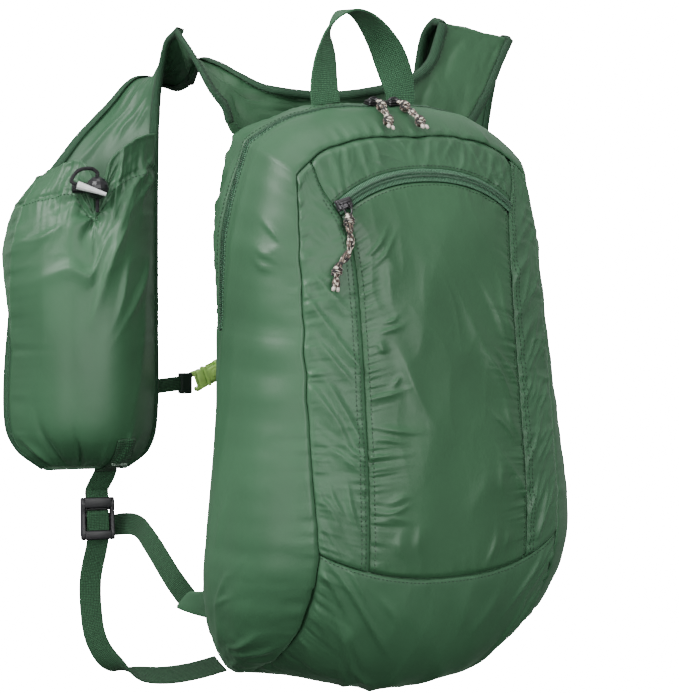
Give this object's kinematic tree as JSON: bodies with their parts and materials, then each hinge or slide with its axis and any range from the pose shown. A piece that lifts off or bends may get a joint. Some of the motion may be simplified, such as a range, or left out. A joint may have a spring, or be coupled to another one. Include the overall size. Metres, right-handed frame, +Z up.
{
  "type": "packable backpack",
  "caption": "Soft packable backpack with an arched double-pull main zip, a curved front pocket, webbing straps and a drawstring phone pocket on one strap.",
  "frame": {"origin": "the middle of the neckline of the yoke, where the wearer's neck holds the bag up", "axes": "+X to the bag's own right-hand side as the front is looked at, +Y from the bag to the wearer's back, +Z up"},
  "size_m": [0.3774, 0.2565, 0.4628],
  "materials": {
    "adjuster_webbing_left": "coarse woven webbing",
    "adjuster_webbing_right": "coarse woven webbing",
    "back_panel": "thin coated nylon with a soft sheen",
    "bottom_panel": "thin coated nylon with a soft sheen",
    "buckle_plug": "smooth lime green",
    "buckle_socket": "smooth lime green",
    "cord_lock_body": "smooth black",
    "cord_lock_plunger": "smooth black",
    "cord_tab": "light grey",
    "drawcord": "black elastic cord",
    "front_pocket": "thin coated nylon with a soft sheen",
    "front_strip_left": "thin coated nylon with a soft sheen",
    "front_strip_right": "thin coated nylon with a soft sheen",
    "front_upper": "thin coated nylon with a soft sheen",
    "grab_handle": "coarse woven webbing",
    "gusset": "thin coated nylon with a soft sheen",
    "ladder_lock_left": "smooth black",
    "ladder_lock_right": "smooth black",
    "main_pull_left": "braided cord in mixed browns",
    "main_pull_right": "braided cord in mixed browns",
    "main_slider_left": "dark gunmetal paint",
    "main_slider_right": "dark gunmetal paint",
    "main_zip": "woven zip tape over a nylon coil",
    "pocket_back_wall": "thin coated nylon with a soft sheen",
    "pocket_pull": "braided cord in mixed browns",
    "pocket_slider": "dark gunmetal paint",
    "pocket_zip": "woven zip tape over a nylon coil",
    "shoulder_yoke": "thin coated nylon with a soft sheen",
    "side_tab_left": "thin coated nylon with a soft sheen",
    "side_tab_right": "thin coated nylon with a soft sheen",
    "sternum_keeper": "thin coated nylon with a soft sheen",
    "sternum_webbing_left": "coarse woven webbing",
    "sternum_webbing_right": "coarse woven webbing",
    "strap_left": "thin coated nylon with a soft sheen",
    "strap_pocket": "thin coated nylon with a soft sheen",
    "strap_right": "thin coated nylon with a soft sheen",
    "strap_webbing_left": "coarse woven webbing",
    "strap_webbing_right": "coarse woven webbing"
  },
  "bodies": {
    "bag": {"adjuster_webbing_left": "adjuster_webbing_left", "adjuster_webbing_right": "adjuster_webbing_right", "back_panel": "back_panel", "bottom_panel": "bottom_panel", "buckle_plug": "buckle_plug", "buckle_socket": "buckle_socket", "cord_lock_body": "cord_lock_body", "cord_tab": "cord_tab", "drawcord": "drawcord", "front_pocket": "front_pocket", "front_strip_left": "front_strip_left", "front_strip_right": "front_strip_right", "front_upper": "front_upper", "grab_handle": "grab_handle", "gusset": "gusset", "ladder_lock_left": "ladder_lock_left", "ladder_lock_right": "ladder_lock_right", "main_pull_left": "main_pull_left", "main_pull_right": "main_pull_right", "main_slider_left": "main_slider_left", "main_slider_right": "main_slider_right", "main_zip": "main_zip", "pocket_back_wall": "pocket_back_wall", "pocket_pull": "pocket_pull", "pocket_slider": "pocket_slider", "pocket_zip": "pocket_zip", "shoulder_yoke": "shoulder_yoke", "side_tab_left": "side_tab_left", "side_tab_right": "side_tab_right", "sternum_keeper": "sternum_keeper", "sternum_webbing_left": "sternum_webbing_left", "sternum_webbing_right": "sternum_webbing_right", "strap_left": "strap_left", "strap_pocket": "strap_pocket", "strap_right": "strap_right", "strap_webbing_left": "strap_webbing_left", "strap_webbing_right": "strap_webbing_right"},
    "plunger": {"cord_lock_plunger": "cord_lock_plunger"}
  },
  "joints": [
    {"name": "plunger_press", "type": "slide", "parent": "bag", "child": "plunger", "axis": [0.8129, -0.5824, 0], "range_m": [0, 0.003], "stiffness_N_per_m": 800}
  ]
}
